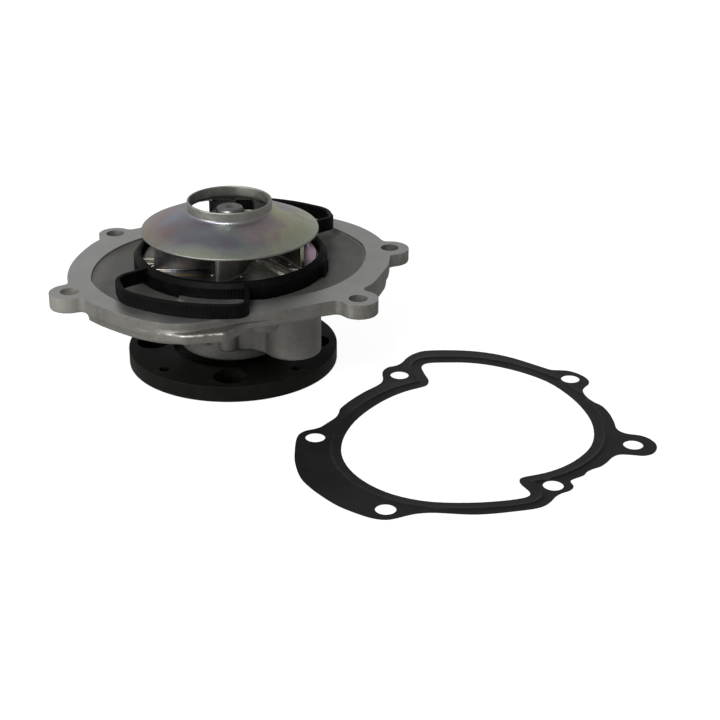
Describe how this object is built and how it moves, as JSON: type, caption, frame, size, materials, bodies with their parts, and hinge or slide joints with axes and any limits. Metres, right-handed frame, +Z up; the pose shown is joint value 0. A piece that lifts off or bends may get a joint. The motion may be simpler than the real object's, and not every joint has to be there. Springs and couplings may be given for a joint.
{
  "type": "engine coolant pump",
  "caption": "Engine coolant pump with a die-cast housing, a pulley hub on a shaft bearing, a face seal, a shrouded pressed-steel impeller, a rubber flow seal and a loose flange gasket.",
  "frame": {"origin": "on the shaft axis, at the centre of the pulley hub's outer face", "axes": "+Z up the shaft from the pulley hub to the impeller eye; +X towards the side on which the loose gasket lies"},
  "size_m": [0.2636, 0.2199, 0.0785],
  "materials": {
    "cast_aluminium": "die cast, with a milled flange face",
    "plug_steel": "bright",
    "seal_rubber": "matt, finely ribbed",
    "hub_coat": "satin black coating",
    "ground_steel": "ground",
    "cage_nylon": "matt",
    "lip_rubber": "matt",
    "cup_brass": "pressed sheet",
    "carbon": "lapped carbon",
    "ceramic": "lapped ceramic",
    "zinc_steel": "zinc plated and passivated, faintly iridescent",
    "gasket_coat": "rubber-coated sheet steel"
  },
  "bodies": {
    "housing": {"housing": "cast_aluminium", "reservoir_plug": "plug_steel", "flow_seal": "seal_rubber", "bearing_outer_race": "ground_steel", "bearing_seal_hub_side": "lip_rubber", "bearing_seal_pump_side": "lip_rubber", "seal_cup": "cup_brass", "seal_bellows": "lip_rubber", "seal_spring": "plug_steel", "seal_carbon_ring": "carbon"},
    "rotor": {"drive_hub": "hub_coat", "shaft": "ground_steel", "slinger": "plug_steel", "seal_mating_ring": "ceramic", "seal_mating_boot": "lip_rubber", "impeller_hub": "zinc_steel", "impeller_back_plate": "zinc_steel", "vane_segment_1": "zinc_steel", "vane_segment_2": "zinc_steel", "vane_segment_3": "zinc_steel", "impeller_shroud": "zinc_steel"},
    "ball_row": {"bearing_balls": "ground_steel", "ball_cage": "cage_nylon"},
    "roller_row": {"bearing_rollers": "ground_steel", "roller_cage": "cage_nylon"},
    "gasket": {"gasket": "gasket_coat"}
  },
  "joints": [
    {"name": "shaft_spin", "type": "hinge", "parent": "housing", "child": "rotor", "pos_m": [0, 0, 0], "axis": [0, 0, 1], "continuous": true},
    {"name": "ball_row_spin", "type": "hinge", "parent": "housing", "child": "ball_row", "pos_m": [0, 0, 0.0176], "axis": [0, 0, 1], "continuous": true},
    {"name": "roller_row_spin", "type": "hinge", "parent": "housing", "child": "roller_row", "pos_m": [0, 0, 0.028], "axis": [0, 0, 1], "continuous": true},
    {"name": "gasket_lift", "type": "slide", "parent": "housing", "child": "gasket", "axis": [0, 0, 1], "range_m": [0, 0.03]}
  ],
  "couplings": [
    {"joint": "ball_row_spin", "follows": "shaft_spin", "ratio": 0.3362},
    {"joint": "roller_row_spin", "follows": "shaft_spin", "ratio": 0.3815}
  ]
}
